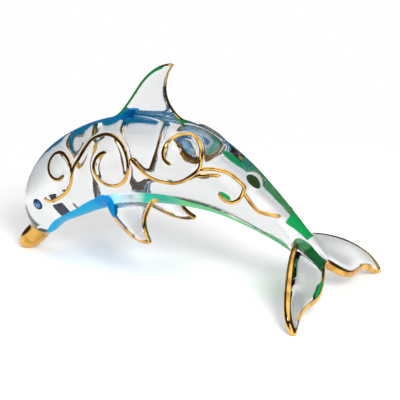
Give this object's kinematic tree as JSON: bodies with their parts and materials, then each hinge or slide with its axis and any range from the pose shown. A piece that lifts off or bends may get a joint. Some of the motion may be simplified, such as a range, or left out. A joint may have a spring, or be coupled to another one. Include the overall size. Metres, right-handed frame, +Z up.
{
  "type": "glass dolphin figurine",
  "caption": "Clear glass dolphin leaping with an arched back, raised gilded scrolls, gilt beak and fin edges, tinted belly and blue crystal eyes.",
  "frame": {"origin": "on the table, under the middle of the figurine's length and width", "axes": "+X from head to tail along the length, -Y to the dolphin's left side, +Z up"},
  "size_m": [0.2092, 0.1164, 0.1225],
  "materials": {
    "clear_glass": "polished clear cast glass, fired gold on beak, fin edges and scroll lines, blue to green tint along the belly",
    "eye_crystal": "cut dark blue crystal with a foiled back",
    "gilding": "fired bright gold"
  },
  "bodies": {
    "root": {"dolphin": "clear_glass", "eye_left": "eye_crystal", "eye_right": "eye_crystal"}
  },
  "joints": []
}
